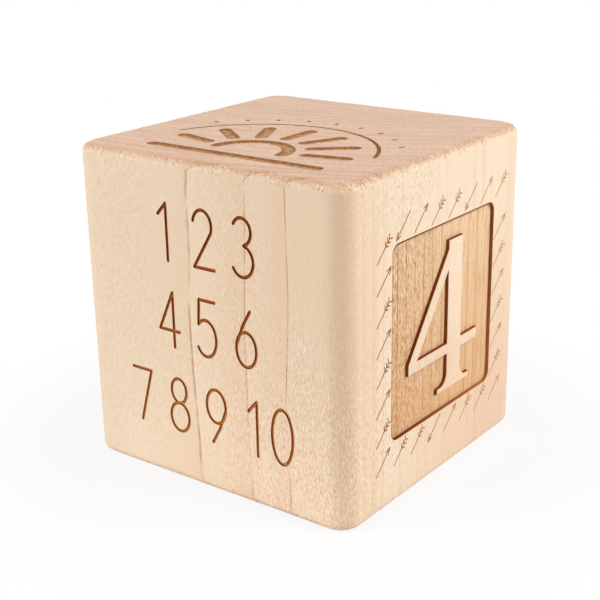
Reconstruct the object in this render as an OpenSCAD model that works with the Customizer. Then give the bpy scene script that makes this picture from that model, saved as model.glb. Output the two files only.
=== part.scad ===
// Wooden keepsake block: a sanded cube of maple with a lowered panel that frames a raised numeral.
// Millimetres. +Z runs up along the grain, -Y is the front and +X the side with the panel.
// The origin is the middle of the underside.

/* [Block] */
// Width across the front, along X
block_w = 63.5; // [58:0.5:90]
// Depth from front to back, along Y
block_d = 62.5; // [58:0.5:90]
// Height along the grain, along Z
block_h = 64.5; // [58:0.5:90]
// Radius routed along the four upright, long-grain edges
long_edge_r = 4.5; // [2.5:0.1:6]
// Radius sanded on the edges of the end grain, top and bottom
end_edge_r = 1.9; // [0.5:0.1:2.4]

/* [Panel] */
// Width of the lowered panel, along Y
panel_w = 36.2; // [32:0.1:40]
// Height of the lowered panel, along Z
panel_h = 37.4; // [34:0.1:44]
// Distance of the panel's middle behind the middle of its side
panel_back = 1.05; // [-2:0.05:2]
// Distance of the panel's middle below the middle of its side
panel_drop = 0.15; // [-2:0.05:2]
// Radius of the panel's corners
panel_corner_r = 2; // [0.5:0.1:5]
// Depth of the panel below the face
panel_depth = 0.65; // [0.4:0.05:3]

/* [Numeral] */
// Height of the raised numeral
numeral_h = 30.2; // [26:0.1:32]
// Width of the upright stroke
stem_w = 5.2; // [3:0.1:6]
// Thickness of the slanting stroke, square to its own run
slant_t = 2.5; // [1:0.1:4]
// Thickness of the crossbar
bar_t = 2.2; // [1:0.1:4]
// Height of the crossbar's lower edge above the foot
bar_rise = 7.4; // [5.5:0.1:10]
// Reach of the crossbar to the left of the upright
bar_left = 13.8; // [11:0.1:15]
// Reach of the crossbar to the right of the upright
bar_right = 6.2; // [4:0.1:8]
// Reach of the foot serif on each side of the upright
serif_reach = 3.4; // [3.1:0.1:5]
// Thickness of the foot serif at its tips
serif_t = 1.1; // [0.6:0.1:2]
// Radius of the curves that blend the foot serif into the upright
serif_blend_r = 2.4; // [0.5:0.1:3]

/* [Hidden] */
$fn = 64;

maple = "#E9D0AE";
maple_figure = "#F2DCBD";

// Clearance by which a cut passes the face that it opens
cut_past = 1;
// Part of the upright's width where the slanting stroke meets its top
apex_share = 0.25;
// Angle between the points along a serif's blend
blend_step = 15;

bar_top = bar_rise + bar_t;
numeral_w = bar_left + stem_w + bar_right;
apex_x = bar_left + stem_w * apex_share;
// Rise of the slanting stroke for each millimetre that it runs to the right
slant_slope = (numeral_h - bar_top) / apex_x;
// Width of the slanting stroke along a level line
slant_w = slant_t * sqrt(1 + 1 / pow(slant_slope, 2));

// A quarter of a disc, in the corner of the positive axes
module quarter_disc(r) {
    intersection() {
        circle(r);
        square(2 * r);
    }
}

// Section through a rim of the block, from x = 0 out to reach, with both end-grain edges rounded
module rim_section(reach) {
    straight = block_h - 2 * end_edge_r;
    square([reach - end_edge_r, block_h]);
    translate([reach - end_edge_r, end_edge_r]) {
        square([end_edge_r, straight]);
        mirror([0, 1]) quarter_disc(end_edge_r);
        translate([0, straight]) quarter_disc(end_edge_r);
    }
}

// The block without its panel: a core, four sides and four upright corners that meet face to face
module rounded_block() {
    core = [block_w - 2 * long_edge_r, block_d - 2 * long_edge_r];
    translate([-core[0] / 2, -core[1] / 2, 0]) cube([core[0], core[1], block_h]);
    for (quarter = [0 : 3]) {
        across = core[quarter % 2];
        along = core[(quarter + 1) % 2];
        rotate(90 * quarter) translate([across / 2, along / 2, 0]) {
            rotate([90, 0, 0]) linear_extrude(along) rim_section(long_edge_r);
            rotate_extrude(angle = 90) rim_section(long_edge_r);
        }
    }
}

// A rectangle about the origin with quarter-round corners
module rounded_rectangle(w, h, r) {
    square([w - 2 * r, h], center = true);
    square([w, h - 2 * r], center = true);
    for (x = [0, 1], y = [0, 1])
        mirror([x, 0]) mirror([0, y]) translate([w / 2 - r, h / 2 - r]) quarter_disc(r);
}

// Stands a flat drawing in the panel: its x runs to +Y, its y to +Z, and it rises from the panel's floor
module on_panel(rise) {
    translate([block_w / 2 - panel_depth, panel_back, block_h / 2 - panel_drop])
        rotate([90, 0, 90]) linear_extrude(rise) children();
}

// Points along the hollow blend from the serif's upper face to the upright's side,
// about a centre at [x, y], on the side that the sign names
function blend_points(x, y, side) = [
    for (a = [0 : blend_step : 90])
        [x - side * serif_blend_r * sin(a), y - serif_blend_r * cos(a)]
];

// Upright stroke with a foot serif blended in on both sides
module upright() {
    middle = bar_left + stem_w / 2;
    tip = stem_w / 2 + serif_reach;
    blend_x = stem_w / 2 + serif_blend_r;
    blend_y = serif_t + serif_blend_r;
    right = blend_points(blend_x, blend_y, 1);
    left = [for (p = right) [-p[0], p[1]]];
    translate([middle, 0]) polygon(concat(
        [[-tip, 0], [tip, 0], [tip, serif_t]],
        right,
        [[stem_w / 2, numeral_h], [-stem_w / 2, numeral_h]],
        [for (i = [len(left) - 1 : -1 : 0]) left[i]],
        [[-tip, serif_t]]
    ));
}

// Crossbar and slanting stroke, with the open triangle between them and the upright
module bar_and_slant() {
    translate([0, bar_rise]) square([numeral_w, bar_t]);
    difference() {
        polygon([[0, bar_top], [bar_left, bar_top], [bar_left, numeral_h], [apex_x, numeral_h]]);
        polygon([
            [slant_w, bar_top],
            [bar_left, bar_top],
            [bar_left, bar_top + (bar_left - slant_w) * slant_slope]
        ]);
    }
}

// Body of the block, one piece of wood, with the panel lowered into its right side
module maple_block() {
    color(maple) difference() {
        rounded_block();
        on_panel(panel_depth + cut_past) rounded_rectangle(panel_w, panel_h, panel_corner_r);
    }
}

// Numeral that stands on the panel's floor, flush with the face round the panel
module raised_numeral() {
    color(maple_figure) on_panel(panel_depth) translate([-numeral_w / 2, -numeral_h / 2]) {
        upright();
        bar_and_slant();
    }
}

maple_block();
raised_numeral();
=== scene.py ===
"""A solid maple keepsake block with engraved sides and a raised numeral, on a pale floor in soft light."""
import math

import bmesh
import bpy
from mathutils import Matrix, Vector


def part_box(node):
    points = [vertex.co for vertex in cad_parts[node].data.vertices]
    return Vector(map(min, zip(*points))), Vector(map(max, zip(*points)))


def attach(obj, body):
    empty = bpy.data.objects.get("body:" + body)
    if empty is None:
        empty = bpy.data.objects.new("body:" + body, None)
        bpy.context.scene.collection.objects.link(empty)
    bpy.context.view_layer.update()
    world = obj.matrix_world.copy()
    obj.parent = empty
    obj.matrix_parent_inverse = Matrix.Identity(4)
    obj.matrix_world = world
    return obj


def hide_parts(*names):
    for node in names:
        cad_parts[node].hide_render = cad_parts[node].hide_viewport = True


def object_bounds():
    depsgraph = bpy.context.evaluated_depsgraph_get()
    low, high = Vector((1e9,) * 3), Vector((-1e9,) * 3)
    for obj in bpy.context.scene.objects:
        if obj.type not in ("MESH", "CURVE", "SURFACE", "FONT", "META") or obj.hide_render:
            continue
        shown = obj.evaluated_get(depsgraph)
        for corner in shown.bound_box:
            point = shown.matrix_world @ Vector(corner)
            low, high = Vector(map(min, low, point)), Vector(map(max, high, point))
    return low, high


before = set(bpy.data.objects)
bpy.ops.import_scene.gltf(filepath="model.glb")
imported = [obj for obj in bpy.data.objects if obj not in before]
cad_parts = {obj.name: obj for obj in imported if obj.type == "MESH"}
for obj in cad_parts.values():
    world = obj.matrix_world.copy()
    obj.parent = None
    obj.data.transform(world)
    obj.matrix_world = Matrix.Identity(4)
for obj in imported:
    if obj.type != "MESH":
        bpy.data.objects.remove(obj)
cad_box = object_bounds()

# Camera: a long lens a hand's reach from the block, above its front right edge and turned a little off level.
# It aims just below the middle of the block, which then sits as high in the frame as in the photograph.
MM = 0.001
AZIMUTH = math.radians(37.31)
ELEVATION = math.radians(19.51)
ROLL = math.radians(-1.045)
EYE_DISTANCE = 248 * MM
AIM_RIGHT = -1.34 * MM
AIM_UP = -2.35 * MM
LENS_MM = 73.17
SENSOR_MM = 36
NEAR_CLIP = 10 * MM

middle = (cad_box[0] + cad_box[1]) / 2
back = Vector((
    math.sin(AZIMUTH) * math.cos(ELEVATION),
    -math.cos(AZIMUTH) * math.cos(ELEVATION),
    math.sin(ELEVATION),
))
right = Vector((math.cos(AZIMUTH), math.sin(AZIMUTH), 0))
up = back.cross(right)
eye = middle + AIM_RIGHT * right + AIM_UP * up + EYE_DISTANCE * back
axes = Matrix((right, up, back)).transposed() @ Matrix.Rotation(ROLL, 3, "Z")
camera = bpy.data.objects.new("camera", bpy.data.cameras.new("camera"))
camera.matrix_world = Matrix.Translation(eye) @ axes.to_4x4()
camera.data.lens = LENS_MM
camera.data.sensor_width = SENSOR_MM
camera.data.clip_start = NEAR_CLIP
bpy.context.collection.objects.link(camera)
bpy.context.scene.camera = camera
bpy.context.scene.view_settings.view_transform = "Standard"

# Floor and surroundings: a matt white table in a white room. The camera sees both as white,
# and the floor keeps a light trace of the block's shadow.
FLOOR_COLOUR = "F4F2EF"
FLOOR_HALF = 3000 * MM
ROOM_COLOUR = "FFFFFF"
WHITE_LIGHT = 1.0
ROOM_LIGHT = 0.2
# The share of the shadow that shows close to the block. It fades out between these distances from the middle.
SHADOW_KEPT = 0.15
SHADOW_NEAR = 42 * MM
SHADOW_FAR = 85 * MM


def linear(hex_colour):
    """An sRGB hex colour as the linear RGBA that shaders take."""
    parts = [int(hex_colour[i:i + 2], 16) / 255 for i in (0, 2, 4)]
    return [c / 12.92 if c <= 0.04045 else ((c + 0.055) / 1.055) ** 2.4 for c in parts] + [1.0]


def add(tree, kind, links=None, **settings):
    """Adds a node with its settings; links gives its inputs, by identifier, a socket or a value each."""
    node = tree.nodes.new("ShaderNode" + kind)
    for name, value in settings.items():
        setattr(node, name, value)
    sockets = {socket.identifier: socket for socket in node.inputs}
    for name, value in (links or {}).items():
        if isinstance(value, bpy.types.NodeSocket):
            tree.links.new(value, sockets[name])
        else:
            sockets[name].default_value = value
    return node


def seen_directly(tree):
    """One where a camera, mirror or glass ray arrives, and nought for the light that bounces about."""
    path = add(tree, "LightPath")
    mirrored = add(tree, "Math", {
        "Value": path.outputs["Is Glossy Ray"], "Value_001": path.outputs["Is Transmission Ray"],
    }, operation="MAXIMUM")
    either = add(tree, "Math", {
        "Value": path.outputs["Is Camera Ray"], "Value_001": mirrored.outputs["Value"],
    }, operation="MAXIMUM")
    return either.outputs["Value"]


world = bpy.data.worlds.new("white_room")
world.use_nodes = True
tree = world.node_tree
tree.nodes.clear()
strength = add(tree, "MapRange", {"Value": seen_directly(tree), "To Min": ROOM_LIGHT, "To Max": WHITE_LIGHT})
room = add(tree, "Background", {"Color": linear(ROOM_COLOUR), "Strength": strength.outputs["Result"]})
add(tree, "OutputWorld", {"Surface": room.outputs["Background"]})
bpy.context.scene.world = world

# White laminate, matt: it takes the block's soft shadow and shows no gloss.
table = bpy.data.materials.new("matt_white_table")
table.use_nodes = True
tree = table.node_tree
tree.nodes.clear()
matt = add(tree, "BsdfDiffuse", {"Color": linear(FLOOR_COLOUR)})
glow = add(tree, "Emission", {"Color": linear(ROOM_COLOUR), "Strength": WHITE_LIGHT})
place = add(tree, "TexCoord").outputs["Object"]
reach = add(tree, "VectorMath", {"Vector": place}, operation="LENGTH").outputs["Value"]
white = add(tree, "MapRange", {
    "Value": reach, "From Min": SHADOW_NEAR, "From Max": SHADOW_FAR, "To Min": 1 - SHADOW_KEPT,
}, interpolation_type="SMOOTHSTEP").outputs["Result"]
share = add(tree, "Math", {"Value": seen_directly(tree), "Value_001": white}, operation="MULTIPLY")
mixed = add(tree, "MixShader", {
    "Fac": share.outputs["Value"], "Shader": matt.outputs["BSDF"], "Shader_001": glow.outputs["Emission"]})
add(tree, "OutputMaterial", {"Surface": mixed.outputs["Shader"]})

bm = bmesh.new()
bmesh.ops.create_grid(bm, x_segments=1, y_segments=1, size=FLOOR_HALF)
floor = bpy.data.objects.new("floor", bpy.data.meshes.new("floor"))
bm.to_mesh(floor.data)
bm.free()
floor.data.materials.append(table)
bpy.context.collection.objects.link(floor)

# Lamps: a large soft window on the right and behind, and a weaker one on the left in front, leave the rounded
# upright edge between them a little darker than both sides. A low card behind lights the far sides,
# and a small card that lies on the table lifts the foot of the front.
# Each lamp has a name, a place, what it aims at and its width and depth, all in metres, and its watts.
LAMPS = [
    ("window_right", (0.65, 0.25, 0.52), middle, (0.5, 0.5), 5.5),
    ("window_left", (-0.42, -0.565, 0.50), middle, (0.5, 0.5), 4.5),
    ("card_behind", (-0.30, 0.48, 0.031), (0, 0, 0.031), (0.5, 0.06), 1.2),
    ("card_in_front", (0.001, -0.053, 0.0005), (0.001, -0.053, 1.0), (0.082, 0.042), 0.0035),
]
for name, place, aim, (width, depth), watts in LAMPS:
    lamp = bpy.data.objects.new(name, bpy.data.lights.new(name, "AREA"))
    lamp.data.shape = "RECTANGLE"
    lamp.data.size = width
    lamp.data.size_y = depth
    lamp.data.energy = watts
    lamp.location = place
    lamp.visible_camera = False
    lamp.rotation_mode = "QUATERNION"
    lamp.rotation_quaternion = (Vector(place) - Vector(aim)).to_track_quat("Z", "Y")
    bpy.context.collection.objects.link(lamp)

# Maple block: one cube of hard maple with its grain upright, so that the top and the underside are end grain.
# The upright edges are routed round before the block is cut to length, and the ends are eased by sanding.
LONG_EDGE_R = 4.5 * MM
LONG_EDGE_STEPS = 16
END_EDGE_R = 1.9 * MM
END_EDGE_STEPS = 8

low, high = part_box("maple_block")
bm = bmesh.new()
bmesh.ops.create_cube(bm, size=1.0)
bmesh.ops.scale(bm, vec=high - low, verts=bm.verts)
bmesh.ops.translate(bm, vec=(low + high) / 2, verts=bm.verts)
upright = [e for e in bm.edges if abs(e.verts[0].co.z - e.verts[1].co.z) > LONG_EDGE_R]
bmesh.ops.bevel(bm, geom=upright, offset=LONG_EDGE_R, segments=LONG_EDGE_STEPS, profile=0.5,
                affect="EDGES", material=-1)
rims = [e for e in bm.edges if abs(e.verts[0].co.z - e.verts[1].co.z) < LONG_EDGE_R]
bmesh.ops.bevel(bm, geom=rims, offset=END_EDGE_R, segments=END_EDGE_STEPS, profile=0.5,
                affect="EDGES", material=-1)
block = bpy.data.objects.new("keepsake_block", bpy.data.meshes.new("keepsake_block"))
bm.to_mesh(block.data)
bm.free()
bpy.context.collection.objects.link(block)

# The tree's pith stands behind the block and to its left, so its growth rings cross the block as wide arcs.
# A ring ends RING_AT from the pith, and FIRST_YEAR, the year that then starts, settles how dark each ring is.
PITH_X = -21.75 * MM
PITH_Y = 88.75 * MM
RING_SPACING = 2.7 * MM
RING_AT = 127.0 * MM
RING_WANDER = 1.4 * MM
FIRST_YEAR = 193
# Between these distances from the pith the wood turns a little darker and pinker.
HEART_FROM = 121.0 * MM
HEART_TO = 123.5 * MM
# The grain leans a little off upright, and its patterns lie at a slant to the block's sides.
GRAIN_TURN = (math.radians(3), math.radians(4), math.radians(35))
# Sizes of the wood's patterns in millimetres, across and along the grain, and their detail.
# Real maple pores are under 0.1 mm wide and wouldn't show, so pores, pits and flecks are drawn coarser.
GRAIN_SIZES = {
    "wander": (24, 60, 2),
    "mottle": (14, 60, 2),
    "breaks": (2, 7, 2),
    "streak": (0.7, 18, 3),
    "hair": (0.45, 40, 2),
    "patch": (16, 30, 1),
    "pore": (0.2, 0.9, 1),
    "pit": (0.26, 1.0, 2),
    "fleck": (0.4, 1.0, 1),
    "crumb": (0.9, 0.9, 1),
}
# Sizes of the end grain's patterns in millimetres, round the pith and outward from it, and their detail.
POLAR_SIZES = {
    "ray": (0.7, 9, 2),
    "ringlet": (22, 2.2, 2),
}
# Smoke from the laser settles more and more towards the front, between these places along Y.
SMOKE_FROM = 6 * MM
SMOKE_TO = -17 * MM
# Burns are cleaner towards the back, between these places along Y, and the sanded wood is tinted warmer low
# down, along Z.
CLEAN_FROM = -17 * MM
CLEAN_TO = 17 * MM
LOW_FROM = 50 * MM
LOW_TO = 14 * MM
# The pores lie more open towards the upright edge at the front right, where X minus Y is largest.
NEAR_FROM = 30 * MM
NEAR_TO = 55 * MM
# On the right side the fibres are torn under the top edge, between these heights and back from the front.
HIGH_FROM = 48 * MM
HIGH_TO = 57 * MM
AWAY_FROM = -24 * MM
AWAY_TO = -15 * MM
BUMP_STRENGTH = 0.5
# The place of the colour among a Mix node's outputs.
MIX_COLOUR = 2


def maple_grain(tree):
    """Adds the wood's patterns to a material, as sockets from nought to one, by name."""
    place = add(tree, "TexCoord").outputs["Object"]
    leaning = add(tree, "Mapping", {"Vector": place, "Rotation": GRAIN_TURN}).outputs["Vector"]
    level = add(tree, "Mapping", {
        "Vector": place, "Location": (-PITH_X, -PITH_Y, 0), "Scale": (1, 1, 0)}).outputs["Vector"]
    radius = add(tree, "VectorMath", {"Vector": level}, operation="LENGTH").outputs["Value"]
    from_pith = add(tree, "SeparateXYZ", {"Vector": level})
    angle = add(tree, "Math", {
        "Value": from_pith.outputs["X"], "Value_001": from_pith.outputs["Y"],
    }, operation="ARCTAN2").outputs["Value"]
    polar = add(tree, "CombineXYZ", {"X": angle, "Y": radius}).outputs["Vector"]
    spreads = []
    for name, (across, along, detail) in GRAIN_SIZES.items():
        spreads.append((name, leaning, (1 / (across * MM), 1 / (across * MM), 1 / (along * MM)), detail))
    for name, (around, outward, detail) in POLAR_SIZES.items():
        spreads.append((name, polar, (RING_AT / (around * MM), 1 / (outward * MM), 0), detail))
    grain = {}
    for name, vector, scale, detail in spreads:
        spread = add(tree, "Mapping", {"Vector": vector, "Scale": scale}).outputs["Vector"]
        grain[name] = add(tree, "TexNoise", {"Vector": spread, "Scale": 1.0, "Detail": detail}).outputs["Fac"]
    # Rings are counted outward from the pith, and each year gets a darkness of its own.
    wandering = add(tree, "Math", {
        "Value": grain["wander"], "Value_001": RING_WANDER, "Value_002": radius,
    }, operation="MULTIPLY_ADD").outputs["Value"]
    years = add(tree, "Math", {
        "Value": wandering, "Value_001": 1 / RING_SPACING,
        "Value_002": -(RING_AT + RING_WANDER / 2) / RING_SPACING,
    }, operation="MULTIPLY_ADD").outputs["Value"]
    phase = add(tree, "Math", {"Value": years}, operation="FRACT").outputs["Value"]
    whole = add(tree, "Math", {"Value": years}, operation="FLOOR").outputs["Value"]
    year = add(tree, "Math", {"Value": whole, "Value_001": FIRST_YEAR}).outputs["Value"]
    grain["year"] = add(tree, "TexWhiteNoise", {"W": year}, noise_dimensions="1D").outputs["Value"]
    spot = add(tree, "SeparateXYZ", {"Vector": place})
    nearness = add(tree, "Math", {
        "Value": spot.outputs["X"], "Value_001": spot.outputs["Y"],
    }, operation="SUBTRACT").outputs["Value"]
    # A face's normal tells the sides from the ends, and from the routed and eased edges between them.
    facing = add(tree, "SeparateXYZ", {"Vector": add(tree, "NewGeometry").outputs["Normal"]})
    diagonal = add(tree, "Math", {
        "Value": facing.outputs["X"], "Value_001": facing.outputs["Y"],
    }, operation="MULTIPLY").outputs["Value"]
    slanting = add(tree, "Math", {"Value": diagonal}, operation="ABSOLUTE").outputs["Value"]
    upward = add(tree, "Math", {"Value": facing.outputs["Z"]}, operation="ABSOLUTE").outputs["Value"]
    # Each pattern drawn out of another: what it comes from, and the values that become nought and one.
    # Soft patterns ease in and out between the two, and even ones run straight.
    soft = [
        ("latewood", phase, 0.3, 1.0),
        ("line", phase, 0.95, 0.99),
        ("stripe", phase, 0.86, 0.97),
        ("heart", radius, HEART_FROM, HEART_TO),
        ("rough", grain["patch"], 0.4, 0.55),
        ("hairline", grain["hair"], 0.5, 0.66),
        ("broken", grain["breaks"], 0.3, 0.65),
        ("vein", grain["streak"], 0.54, 0.7),
        ("dash", grain["pore"], 0.54, 0.74),
        ("glint", grain["pore"], 0.46, 0.26),
        # Pits for painted shade and ridges for painted highlight, on the laser's floor.
        ("pitted", grain["pit"], 0.46, 0.68),
        ("ridged", grain["pit"], 0.5, 0.32),
        ("lump", grain["crumb"], 0.4, 0.6),
        ("torn", grain["fleck"], 0.55, 0.68),
        # Pale flecks of painted highlight, where torn fibres would catch the light.
        ("bright", grain["fleck"], 0.45, 0.32),
        ("streaky", grain["ringlet"], 0.36, 0.64),
        # Strongest halfway round the rounded upright edges, where painted shade is laid.
        ("routed", slanting, 0.1, 0.5),
        ("end", upward, 0.25, 0.9),
        ("off_side", upward, 0.03, 0.25),
        ("off_end", upward, 0.97, 0.7),
    ]
    even = [
        ("smoke", spot.outputs["Y"], SMOKE_FROM, SMOKE_TO),
        ("clean", spot.outputs["Y"], CLEAN_FROM, CLEAN_TO),
        ("low", spot.outputs["Z"], LOW_FROM, LOW_TO),
        ("near", nearness, NEAR_FROM, NEAR_TO),
        ("high", spot.outputs["Z"], HIGH_FROM, HIGH_TO),
        ("away", spot.outputs["Y"], AWAY_FROM, AWAY_TO),
    ]
    for interpolation, patterns in (("SMOOTHSTEP", soft), ("LINEAR", even)):
        for name, source, nought, one in patterns:
            grain[name] = add(tree, "MapRange", {
                "Value": source, "From Min": nought, "From Max": one,
            }, interpolation_type=interpolation).outputs["Result"]
    return grain


def wood(name, base, layers, roughness, gloss, bump_from, bump_depth, end_roughness=None):
    """A wood material: tints laid over a base colour, each as strong as its patterns multiplied together.
    Gloss is the shader's specular level."""
    material = bpy.data.materials.new(name)
    material.use_nodes = True
    tree = material.node_tree
    tree.nodes.clear()
    grain = maple_grain(tree)
    colour = linear(base)
    for patterns, amount, tint in layers:
        for pattern in patterns.split("*"):
            amount = add(tree, "Math", {
                "Value": grain[pattern], "Value_001": amount}, operation="MULTIPLY").outputs["Value"]
        colour = add(tree, "Mix", {
            "Factor_Float": amount, "A_Color": colour, "B_Color": linear(tint),
        }, data_type="RGBA", clamp_factor=True).outputs[MIX_COLOUR]
    if end_roughness:
        roughness = add(tree, "MapRange", {
            "Value": grain["end"], "To Min": roughness, "To Max": end_roughness}).outputs["Result"]
    bump = add(tree, "Bump", {"Height": grain[bump_from], "Strength": BUMP_STRENGTH, "Distance": bump_depth})
    shader = add(tree, "BsdfPrincipled", {
        "Base Color": colour, "Roughness": roughness, "Specular IOR Level": gloss,
        "Normal": bump.outputs["Normal"]})
    add(tree, "OutputMaterial", {"Surface": shader.outputs["BSDF"]})
    # Patterns that no layer asks for are taken out again, and then whatever only they needed.
    while unused := [n for n in tree.nodes if n.outputs and not any(o.is_linked for o in n.outputs)]:
        for node in unused:
            tree.nodes.remove(node)
    return material


# Hard maple, sanded to a fine grit: pale cream wood with thin growth-ring lines, faint streaks along the
# grain and short pore dashes. The end grain is darker, pinker and smoother, with its rings and rays,
# and the eased edges between are flecked dark where fibres were torn. Pale flecks on the end grain and
# the eased edges are painted highlights, where the torn fibres would catch the light.
sanded_maple = wood("sanded_hard_maple", "F7E5CD", [
    ("mottle", 0.7, "E9C9A5"),
    ("heart", 0.17, "D8A276"),
    ("latewood*year", 0.25, "E0B892"),
    ("streak", 0.18, "E6C5A3"),
    ("line*year*broken", 0.9, "C28A68"),
    ("dash", 0.09, "C99C73"),
    ("dash*rough", 0.22, "B98A60"),
    ("dash*near*low", 0.38, "B08058"),
    ("dash*high*away*near", 0.8, "A87850"),
    ("glint", 0.12, "FFF4E4"),
    ("glint*rough", 0.3, "FFF8EC"),
    ("glint*near*low", 0.48, "FFFAF0"),
    ("glint*high*away*near", 0.65, "FFFAF0"),
    # Painted shade: a darker, warmer tint on the rounded upright edges that deepens the darker band the lamps
    # leave there.
    ("routed", 0.15, "E29C5E"),
    ("low*clean", 0.3, "EDAE8D"),
    ("end", 0.8, "E0AA7E"),
    ("end*streaky", 0.44, "C88C62"),
    ("end*latewood*year", 0.52, "BC7C54"),
    ("end*stripe*year*broken", 0.8, "9C6442"),
    ("end*ray", 0.3, "F1D6C1"),
    ("end*torn", 0.35, "B8845E"),
    # Painted highlights: pale flecks where torn fibres on the end grain and its eased edges would catch the
    # light.
    ("end*bright", 0.4, "F6DCC4"),
    ("off_side*off_end*torn*broken", 0.6, "BE8C60"),
    ("off_side*off_end*bright*broken", 0.6, "FFEFD8"),
], roughness=0.55, gloss=0.4, bump_from="pore", bump_depth=0.06 * MM, end_roughness=0.36)
block.data.materials.append(sanded_maple)

# Lowered panel: the laser takes the ground of a rounded square down below the face and burns its walls brown.
# The edge of the burn shows as a thin dark rim all round, widest along the top, where it is darkened further
# by painted shade for the shadow that the top lip casts into the panel.
PANEL_W = 36.2 * MM
PANEL_H = 37.4 * MM
PANEL_CORNER_R = 2.0 * MM
PANEL_CORNER_STEPS = 10
BURN_SIDES = 0.16 * MM
BURN_TOP = 0.28 * MM
BURN_FOOT = 0.16 * MM
BURN_DEPTH = 0.03 * MM
# How far a cutter stands out of the face that it cuts, and the distance within which two heights are one.
CUT_LIFT = 0.2 * MM
MERGE = 0.001 * MM
# A face whose normal has more than this much of X faces right.
FACES_RIGHT = 0.9
# Burnt wood is dull, with its pores a little open.
BURNT = {"roughness": 0.85, "gloss": 0.1, "bump_from": "pore", "bump_depth": 0.05 * MM}

# Maple smoked by the laser: the walls are a dull brown, darkest where the smoke settled,
# and paler low at the back.
smoked = wood("laser_smoked_maple", "A05A22", [
    ("smoke", 0.7, "64300E"),
    ("mottle", 0.5, "8A4414"),
    ("streak", 0.5, "6A3010"),
    ("dash", 0.6, "481C08"),
    ("low*clean*clean", 0.85, "BA7C46"),
], **BURNT)
# Maple lowered by the laser pass by pass: a dull tan floor on which the rings stand out as dark lines,
# and pits and ridges show more and more towards the front, where smoke has stained it: the pits as painted
# shade and the ridges as painted highlight.
lasered_floor = wood("laser_lowered_maple", "F5D8B2", [
    ("mottle", 0.4, "E8C196"),
    ("streak", 0.5, "E3B886"),
    ("latewood*year", 0.3, "D4A470"),
    ("hairline", 0.35, "C6935C"),
    ("stripe*broken", 0.25, "A06C3A"),
    ("stripe*year", 0.3, "8E5C30"),
    ("vein", 0.45, "BE8A54"),
    # Painted shade in the pits and painted highlight on the ridges.
    ("pitted*smoke", 0.9, "8C5628"),
    ("ridged*smoke", 0.75, "FFEFD6"),
    ("stripe*broken*smoke", 0.5, "6E3C18"),
    ("stripe*year*smoke", 0.85, "5A2C0E"),
    ("dash", 0.3, "A8713E"),
    ("dash*smoke", 0.4, "7E4C20"),
    ("glint*smoke", 0.4, "FFF0DA"),
    ("smoke", 0.25, "D0945E"),
    ("low", 0.35, "D4945A"),
    ("end", 0.5, "DDAA7C"),
], roughness=0.75, gloss=0.2, bump_from="pore", bump_depth=0.12 * MM)
# Maple charred at the surface and darkened further by painted shade: the rim along the top is a thin line,
# nearly black in front and browner at the back.
charred_and_shaded = wood("laser_charred_maple", "6E3606", [
    ("streak", 0.5, "46200A"),
    ("dash", 0.5, "2E1406"),
    ("clean", 0.5, "9A6638"),
], **BURNT)

numeral_low, numeral_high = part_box("raised_numeral")
panel_middle = (numeral_low + numeral_high) / 2
panel_floor = numeral_low.x
panel_top = panel_middle.z + PANEL_H / 2
face_right = high.x
ledge_x = face_right - BURN_DEPTH
bm = bmesh.new()
bmesh.ops.create_cube(bm, size=1.0)
bmesh.ops.scale(bm, vec=(ledge_x - panel_floor, PANEL_W, PANEL_H), verts=bm.verts)
bmesh.ops.translate(bm, vec=((ledge_x + panel_floor) / 2, panel_middle.y, panel_middle.z), verts=bm.verts)
corners = [e for e in bm.edges if abs(e.verts[0].co.x - e.verts[1].co.x) > BURN_DEPTH]
bmesh.ops.bevel(bm, geom=corners, offset=PANEL_CORNER_R, segments=PANEL_CORNER_STEPS, profile=0.5,
                affect="EDGES", material=-1)
wider = 1 + 2 * BURN_SIDES / PANEL_W
taller = 1 + (BURN_TOP + BURN_FOOT) / PANEL_H
ledge_rise = Vector((0, 0, (BURN_TOP - BURN_FOOT) / 2))
mouth_lift = Vector((BURN_DEPTH + CUT_LIFT, 0, 0))
# The mouth is widened into the burnt rim and then lifted out of the face.
for across, tall, step in ((wider, taller, ledge_rise), (1, 1, mouth_lift)):
    mouth = [f for f in bm.faces if f.normal.x > FACES_RIGHT]
    grown = bmesh.ops.extrude_face_region(bm, geom=mouth)
    bmesh.ops.delete(bm, geom=mouth, context="FACES_ONLY")
    lip = [v for v in grown["geom"] if isinstance(v, bmesh.types.BMVert)]
    bmesh.ops.scale(bm, vec=(1, across, tall), verts=lip, space=Matrix.Translation(-panel_middle))
    bmesh.ops.translate(bm, vec=step, verts=lip)
bmesh.ops.recalc_face_normals(bm, faces=bm.faces)
panel_woods = [smoked, lasered_floor, charred_and_shaded]
for face in bm.faces:
    centre = face.calc_center_median()
    if centre.x < panel_floor + MERGE:
        face.material_index = panel_woods.index(lasered_floor)
    # The top rim carries painted shade as well as the burn.
    elif centre.x > ledge_x - MERGE and centre.z > panel_top - BURN_SIDES:
        face.material_index = panel_woods.index(charred_and_shaded)
panel_cut = bpy.data.objects.new("panel_cut", bpy.data.meshes.new("panel_cut"))
bm.to_mesh(panel_cut.data)
bm.free()
for material in panel_woods:
    panel_cut.data.materials.append(material)
bpy.context.collection.objects.link(panel_cut)

# Counting numbers: thin engraved lines of even width with round ends, in centred rows on the front.
# Each line is a shallow groove with a flat browned floor and seared, slightly sloping walls.
FIGURE_H = 10.9 * MM
FIGURE_W = 4.9 * MM
FIGURE_GAP = 1.4 * MM
NUMBER_GAP = 4.4 * MM
# Height and half width of a line, from the groove's floor up past the narrow burnt ledge round its mouth.
NUMBER_SECTION = [
    (-0.3 * MM, 0.2 * MM), (-BURN_DEPTH, 0.26 * MM), (-BURN_DEPTH, 0.33 * MM), (CUT_LIFT, 0.33 * MM)]
NUMBER_CAP_STEPS = 8
FIGURE_ARC_STEP = 12
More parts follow.
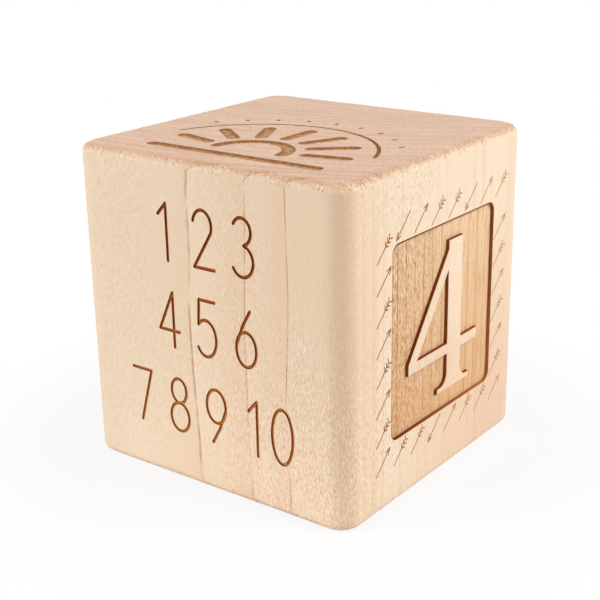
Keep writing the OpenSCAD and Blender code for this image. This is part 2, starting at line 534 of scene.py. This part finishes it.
# Each row's numbers and the height of its foot above the table, and the rows' middle along X.
NUMBER_ROWS = [
    (["1", "2", "3"], 45.0 * MM),
    (["4", "5", "6"], 27.9 * MM),
    (["7", "8", "9", "10"], 10.6 * MM),
]
NUMBER_MIDDLE = 0.5 * MM
# The floor and walls of a line are duller than other burns.
LINE_BURN = dict(BURNT, gloss=0.05)

# Maple browned by a light pass: the lines' floors are orange brown, and paler low down.
browned = wood("laser_browned_maple", "B8662A", [
    ("low", 0.8, "E0A458"),
    ("streak", 0.5, "A45A1C"),
    ("dash", 0.5, "884410"),
], **LINE_BURN)
# Maple seared along the cut: the lines' walls and ledges edge them in dark red brown.
seared = wood("laser_seared_maple", "883608", [
    ("low", 0.85, "B86620"),
    ("near", 0.35, "863004"),
    ("streak", 0.5, "863A0A"),
    ("dash", 0.5, "662806"),
], **LINE_BURN)


def arc(x, y, across, tall, start, end, step=FIGURE_ARC_STEP):
    """Points along part of an ellipse, from one angle to another in steps, all in degrees."""
    steps = round(abs(end - start) / step)
    angles = [math.radians(start + (end - start) * i / steps) for i in range(steps + 1)]
    return [(x + across * math.cos(a), y + tall * math.sin(a)) for a in angles]


def ribbon(path, half, cap_steps):
    """Outline of a line drawn along a smooth path with round ends, anticlockwise."""
    points = [Vector(p) for p in path]
    runs = [(b - a).normalized() for a, b in zip(points, points[1:])]
    along = [runs[0]] + [(a + b).normalized() for a, b in zip(runs, runs[1:])] + [runs[-1]]
    sides = [Vector((d.y, -d.x)) * half for d in along]
    turns = [Matrix.Rotation(math.pi * i / cap_steps, 2) for i in range(1, cap_steps)]
    rightward = [p + n for p, n in zip(points, sides)]
    leftward = [p - n for p, n in zip(points, sides)]
    end_cap = [points[-1] + turn @ sides[-1] for turn in turns]
    start_cap = [points[0] - turn @ sides[0] for turn in turns]
    return rightward + end_cap + leftward[::-1] + start_cap


def grooves(name, paths, section, cap_steps, place, wall, ground):
    """A cutter with one groove for each path, drawn flat and then set on a face by a matrix.
    The section gives a height and half the groove's width there, from the floor up. The walls are laid
    in order round each ring: extruded ones change their order, and with it the cut, from run to run."""
    bm = bmesh.new()
    for path in paths:
        rings = []
        for z, half in section:
            rings.append([bm.verts.new((p.x, p.y, z)) for p in ribbon(path, half, cap_steps)])
        for lower, upper in zip(rings, rings[1:]):
            for i in range(len(lower)):
                bm.faces.new((lower[i - 1], lower[i], upper[i], upper[i - 1]))
        bm.faces.new(rings[0][::-1])
        bm.faces.new(rings[-1])
    floor_z = section[0][0]
    for face in bm.faces:
        face.material_index = 1 if max(v.co.z for v in face.verts) < floor_z + MERGE else 0
    bmesh.ops.transform(bm, matrix=place, verts=bm.verts)
    cutter = bpy.data.objects.new(name, bpy.data.meshes.new(name))
    bm.to_mesh(cutter.data)
    bm.free()
    cutter.data.materials.append(wall)
    cutter.data.materials.append(ground)
    bpy.context.collection.objects.link(cutter)
    return cutter


# Strokes of each figure in a box one wide and one tall. A stroke is smooth, and a corner joins two of them.
STROKES = {
    "0": [arc(0.5, 0.5, 0.48, 0.5, 0, 180), arc(0.5, 0.5, 0.48, 0.5, 180, 360)],
    "1": [[(0.2, 0.8), (0.6, 1)], [(0.6, 1), (0.6, 0)]],
    "2": [arc(0.48, 0.73, 0.45, 0.27, 165, -20) + [(0.03, 0)], [(0.03, 0), (1, 0)]],
    "3": [arc(0.45, 0.77, 0.42, 0.23, 150, -75), arc(0.45, 0.27, 0.5, 0.27, 80, -150)],
    "4": [[(0.72, 1), (0, 0.3)], [(0, 0.3), (1, 0.3)], [(0.72, 1), (0.72, 0)]],
    "5": [[(0.92, 1), (0.16, 1)], [(0.16, 1), (0.1, 0.56)], arc(0.45, 0.32, 0.5, 0.33, 135, -145)],
    "6": [[(0.72, 1), (0.36, 0.72), (0.06, 0.38)], arc(0.5, 0.31, 0.47, 0.31, 0, 180),
          arc(0.5, 0.31, 0.47, 0.31, 180, 360)],
    "7": [[(0, 1), (0.96, 1)], [(0.96, 1), (0.32, 0)]],
    "8": [arc(0.5, 0.77, 0.38, 0.23, 0, 180), arc(0.5, 0.77, 0.38, 0.23, 180, 360),
          arc(0.5, 0.27, 0.47, 0.27, 0, 180), arc(0.5, 0.27, 0.47, 0.27, 180, 360)],
}
STROKES["9"] = [[(1 - x, 1 - y) for x, y in stroke] for stroke in STROKES["6"]]

# The figures' first strokes go in one cutter, their second in the next and so on,
# so that no cutter crosses itself.
number_layers = [[] for stroke in max(STROKES.values(), key=len)]
for numbers, foot in NUMBER_ROWS:
    # A row is laid out from nought, and then moved so that its middle is in place.
    figures = []
    end = -NUMBER_GAP
    for number in numbers:
        end += NUMBER_GAP - FIGURE_GAP
        for figure in number:
            figures.append((figure, end + FIGURE_GAP))
            end += FIGURE_GAP + FIGURE_W
    start = NUMBER_MIDDLE - end / 2
    for figure, left in figures:
        for layer, stroke in zip(number_layers, STROKES[figure]):
            layer.append([(start + left + u * FIGURE_W, foot + v * FIGURE_H) for u, v in stroke])
# A flat drawing is set upright on the front, with its own up along Z.
on_front = Matrix(((1, 0, 0, 0), (0, 0, -1, low.y), (0, 1, 0, 0), (0, 0, 0, 1)))
number_cuts = [
    grooves("number_cut", layer, NUMBER_SECTION, NUMBER_CAP_STEPS, on_front, seared, browned)
    for layer in number_layers]

# Arrow border: a ring of small slanting arrows engraved round the panel with a fine line.
# Heads and feathered ends take turns, and some of the arrows above and below the panel point down.
ROW_PITCH = 5.95 * MM
ROW_HEIGHT = 21.7 * MM
COLUMN_PITCH = 5.8 * MM
COLUMN_OUT = 20.8 * MM
COLUMN_FOOT = -21.7 * MM
# Arrows in the left and right columns, and in the rows above and below with the turn that each row starts on.
COLUMNS = [(-COLUMN_OUT, 8), (COLUMN_OUT, 7)]
ROWS = [(ROW_HEIGHT, 7, 1), (-ROW_HEIGHT, 6, 3)]
# What a row's arrows do in turn: whether each shows its feathers, and whether it points down.
ROW_TURNS = [(True, False), (False, True), (False, False), (True, False)]
ARROW_REACH = 2.2 * MM
HEAD = 1.5 * MM
HEAD_ANGLE = math.radians(24)
BARB = 0.95 * MM
BARB_STEP = 0.85 * MM
BARB_ANGLE = math.radians(48)
BARBS = 3
ARROW_SECTION = [(-0.12 * MM, 0.1 * MM), (CUT_LIFT, 0.18 * MM)]
ARROW_CAP_STEPS = 3

# Maple tinged by a quick weak pass: fine orange-brown lines that fade towards the back.
tinged = wood("laser_tinged_maple", "B87228", [
    ("streak", 0.5, "A85A1C"),
    ("dash", 0.5, "8A4614"),
    ("clean", 0.85, "DEB788"),
], **BURNT)

arrows = []
for across, count in COLUMNS:
    for i in range(count):
        arrows.append((Vector((across, COLUMN_FOOT + i * COLUMN_PITCH)), i % 2 == 1, False))
for height, count, first in ROWS:
    for i in range(count):
        feathered, downward = ROW_TURNS[(first + i) % len(ROW_TURNS)]
        arrows.append((Vector(((i + 1) * ROW_PITCH - COLUMN_OUT, height)), feathered, downward))
# Shafts, left strokes and right strokes get a cutter each, as the strokes of a figure do.
shafts = []
left_strokes = []
right_strokes = []
for place, feathered, downward in arrows:
    centre = panel_middle.yz + place
    tip = Vector((ARROW_REACH, ARROW_REACH)) * (-1 if downward else 1)
    along = tip.normalized()
    if feathered:
        strokes = [(tip - along * (BARB + n * BARB_STEP), BARB, BARB_ANGLE) for n in range(BARBS)]
    else:
        strokes = [(tip, -HEAD, HEAD_ANGLE)]
    shafts.append([centre - tip, centre + strokes[0][0]])
    for root, length, angle in strokes:
        for layer, turn in ((right_strokes, -angle), (left_strokes, angle)):
            layer.append([centre + root, centre + root + Matrix.Rotation(turn, 2) @ along * length])
# A flat drawing is set upright on the right side, with its own right along Y.
on_right = Matrix(((0, 0, 1, face_right), (1, 0, 0, 0), (0, 1, 0, 0), (0, 0, 0, 1)))
arrow_cuts = [
    grooves("arrow_cut", layer, ARROW_SECTION, ARROW_CAP_STEPS, on_right, tinged, tinged)
    for layer in (shafts, left_strokes, right_strokes)]

# Rising sun: a half ring over a bar with rays round it, cut into the top in broad strokes with round ends.
# A fine arc and a row of dots follow it farther back.
SUN = Vector((1.3, -19.0)) * MM
SUN_R = 7.6 * MM
SUN_SECTION = [
    (-0.4 * MM, 1.05 * MM), (-BURN_DEPTH, 1.2 * MM), (-BURN_DEPTH, 1.32 * MM), (CUT_LIFT, 1.32 * MM)]
SUN_CAP_STEPS = 12
HORIZON_DROP = 4.6 * MM
HORIZON_HALF = 19.0 * MM
RAY_START = 11.8 * MM
RAY_END = 19.6 * MM
HALO_R = 24.0 * MM
HALO_SECTION = [(-0.3 * MM, 0.3 * MM), (CUT_LIFT, 0.45 * MM)]
HALO_CAP_STEPS = 8
DOT_R = 28.0 * MM
DOT_LENGTH = 0.5 * MM
# Where the arcs start and end, with their steps, and where the rays and the dots stand, all in degrees.
SUN_ARC = (4, 176, 6)
HALO_ARC = (18, 162, 4)
RAY_ANGLES = range(12, 169, 26)
DOT_ANGLES = range(38, 143, 13)

# End grain toasted by the laser: the walls are a dull mid brown, lumpy where fibres broke off short.
toasted = wood("laser_toasted_end_grain", "B88458", [
    ("lump", 0.5, "966238"),
    ("dash", 0.7, "744626"),
], roughness=0.8, gloss=0.15, bump_from="crumb", bump_depth=0.15 * MM)
# End grain that the laser left crumbly: the floors are a dull tan with darker lumps and pale glints.
crumbled = wood("laser_crumbled_end_grain", "D2A678", [
    ("lump", 0.7, "A87244"),
    ("torn", 0.5, "8A5630"),
    ("glint", 0.4, "E8C49A"),
], roughness=0.8, gloss=0.15, bump_from="crumb", bump_depth=0.15 * MM)


def spoke(degrees, start, end):
    """A straight stroke outward from the sun's middle, from one distance to another."""
    way = Vector((math.cos(math.radians(degrees)), math.sin(math.radians(degrees))))
    return [SUN + way * start, SUN + way * end]


horizon = [
    (SUN.x - HORIZON_HALF, SUN.y - HORIZON_DROP), (SUN.x + HORIZON_HALF, SUN.y - HORIZON_DROP)]
sun_paths = [arc(SUN.x, SUN.y, SUN_R, SUN_R, *SUN_ARC), horizon]
sun_paths += [spoke(degrees, RAY_START, RAY_END) for degrees in RAY_ANGLES]
halo_paths = [arc(SUN.x, SUN.y, HALO_R, HALO_R, *HALO_ARC)]
halo_paths += [spoke(degrees, DOT_R, DOT_R + DOT_LENGTH) for degrees in DOT_ANGLES]
on_top = Matrix.Translation((0, 0, high.z))
sun_cut = grooves("sun_cut", sun_paths, SUN_SECTION, SUN_CAP_STEPS, on_top, toasted, crumbled)
halo_cut = grooves("halo_cut", halo_paths, HALO_SECTION, HALO_CAP_STEPS, on_top, toasted, toasted)

# Carved block: the laser's work is taken out of the block, and leaves its burnt walls and floors there.
# All the cutters go in one cut, because a cut after a cut leaves stray faces where grooves meet.
SHARP_FROM = math.radians(35)

cutters = [panel_cut, *number_cuts, *arrow_cuts, sun_cut, halo_cut]
carving = bpy.data.collections.new("carving")
for cutter in cutters:
    carving.objects.link(cutter)
cut = block.modifiers.new("carving", "BOOLEAN")
cut.operand_type = "COLLECTION"
cut.collection = carving
cut.operation = "DIFFERENCE"
cut.solver = "EXACT"
cut.material_mode = "TRANSFER"
carved = bpy.data.meshes.new_from_object(block.evaluated_get(bpy.context.evaluated_depsgraph_get()))
block.modifiers.clear()
block.data = carved
for cutter in cutters:
    bpy.data.objects.remove(cutter)
bpy.data.collections.remove(carving)
for polygon in carved.polygons:
    polygon.use_smooth = True
carved.set_sharp_from_angle(angle=SHARP_FROM)
weighted = block.modifiers.new("weighted_normals", "WEIGHTED_NORMAL")
weighted.keep_sharp = True
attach(block, "root")
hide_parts("maple_block")

# Raised numeral: the wood that the laser leaves standing in the panel, level with the face round it.
# Its face is sanded maple, and its sides are scorched, over the eased edge on the left and on top.
NUMERAL_RIM = 0.1 * MM
NUMERAL_RIM_STEPS = 2
# Faces within this angle of each other are one flat face.
FLAT_WITHIN = math.radians(0.5)
# A face whose normal has less of X than the first is a side, and one with more than the second is the front.
SIDE_BELOW = 0.3
FRONT_ABOVE = 0.99

# Maple scorched by the laser: the sides are a dull dark brown with darker streaks, and set off the pale face.
scorched = wood("laser_scorched_maple", "A05A22", [
    ("smoke", 0.6, "7C3C12"),
    ("mottle", 0.5, "8A4414"),
    ("streak", 0.5, "6A3010"),
    ("dash", 0.6, "481C08"),
], **BURNT)

bm = bmesh.new()
bm.from_mesh(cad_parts["raised_numeral"].data)
bmesh.ops.remove_doubles(bm, verts=bm.verts, dist=MERGE)
bmesh.ops.dissolve_limit(bm, angle_limit=FLAT_WITHIN, verts=bm.verts, edges=bm.edges)
front_rim = [e for e in bm.edges if sorted(f.normal.x > FACES_RIGHT for f in e.link_faces) == [False, True]]
bmesh.ops.bevel(bm, geom=front_rim, offset=NUMERAL_RIM, segments=NUMERAL_RIM_STEPS, profile=0.5,
                affect="EDGES", material=-1)
for face in bm.faces:
    up_or_left = face.normal.z > face.normal.y
    burnt = face.normal.x < SIDE_BELOW or (face.normal.x < FRONT_ABOVE and up_or_left)
    face.material_index = 1 if burnt else 0
    face.smooth = True
numeral = bpy.data.objects.new("numeral_four", bpy.data.meshes.new("numeral_four"))
bm.to_mesh(numeral.data)
bm.free()
numeral.data.materials.append(sanded_maple)
numeral.data.materials.append(scorched)
numeral.data.set_sharp_from_angle(angle=SHARP_FROM)
bpy.context.collection.objects.link(numeral)
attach(numeral, "root")
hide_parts("raised_numeral")
